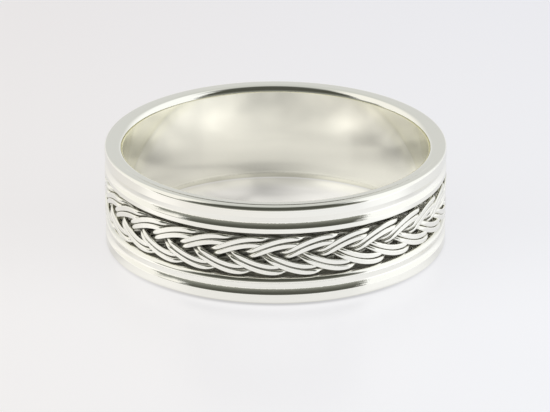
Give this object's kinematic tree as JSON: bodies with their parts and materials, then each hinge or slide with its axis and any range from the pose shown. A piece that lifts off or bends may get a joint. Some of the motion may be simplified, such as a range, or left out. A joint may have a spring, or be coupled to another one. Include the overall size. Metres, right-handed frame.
{
  "type": "braided band ring",
  "caption": "Polished finger ring with a flat plait of silver wires in a blackened channel between raised rails.",
  "frame": {"origin": "on the axis of the finger hole, at the flat lower face that the ring rests on", "axes": "+Z along the axis of the finger hole, upwards; -Y towards the front of the picture"},
  "size_m": [0.0218, 0.0218, 0.0066],
  "materials": {
    "polished_silver": "mirror-polished silver, blackened inside the channel",
    "silver_wire": "polished round silver wire, dark in the crossings"
  },
  "bodies": {
    "root": {"band": "polished_silver", "strand_1": "silver_wire", "strand_2": "silver_wire", "strand_3": "silver_wire", "strand_4": "silver_wire", "strand_5": "silver_wire"}
  },
  "joints": []
}
